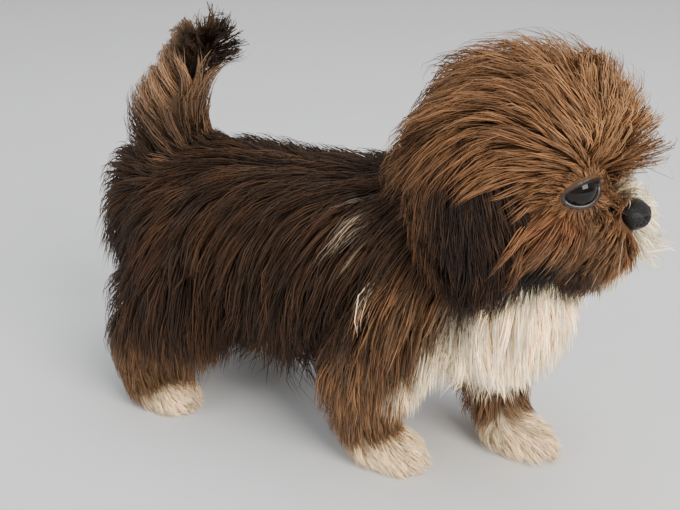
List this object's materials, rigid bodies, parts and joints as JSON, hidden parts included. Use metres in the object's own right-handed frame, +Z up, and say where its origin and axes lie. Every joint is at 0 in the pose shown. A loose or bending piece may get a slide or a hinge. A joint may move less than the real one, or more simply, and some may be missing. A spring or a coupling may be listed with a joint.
{
  "type": "shih tzu puppy",
  "caption": "Life-size still model of a long-coated shih tzu puppy in mid step, head turned level, tail carried up over the back.",
  "frame": {"origin": "bottom centre of the bounding box, on the floor between the paws", "axes": "+X towards the head, +Y to the dog's left, +Z up"},
  "size_m": [0.285, 0.1214, 0.1931],
  "materials": {
    "coat_dark": "long soft hair, dark brown, white on the chest",
    "coat_head": "long soft hair, copper brown, white on the muzzle",
    "coat_ear": "long soft hair, black brown",
    "coat_tail": "long soft hair, tan brown with a dark tip",
    "coat_leg": "soft hair, reddish tan with cream toes",
    "eye": "wet, dark brown",
    "nose": "moist black leather",
    "claw": "smooth horn"
  },
  "bodies": {
    "root": {"head": "coat_head", "neck": "coat_dark", "torso": "coat_dark", "tail_base": "coat_tail", "tail_tip": "coat_tail", "foreleg_right": "coat_leg", "foreleg_left": "coat_leg", "hindleg_right": "coat_leg", "hindleg_left": "coat_leg", "ear_right": "coat_ear", "ear_left": "coat_ear", "eye_right": "eye", "eye_left": "eye", "nose": "nose"}
  },
  "joints": []
}
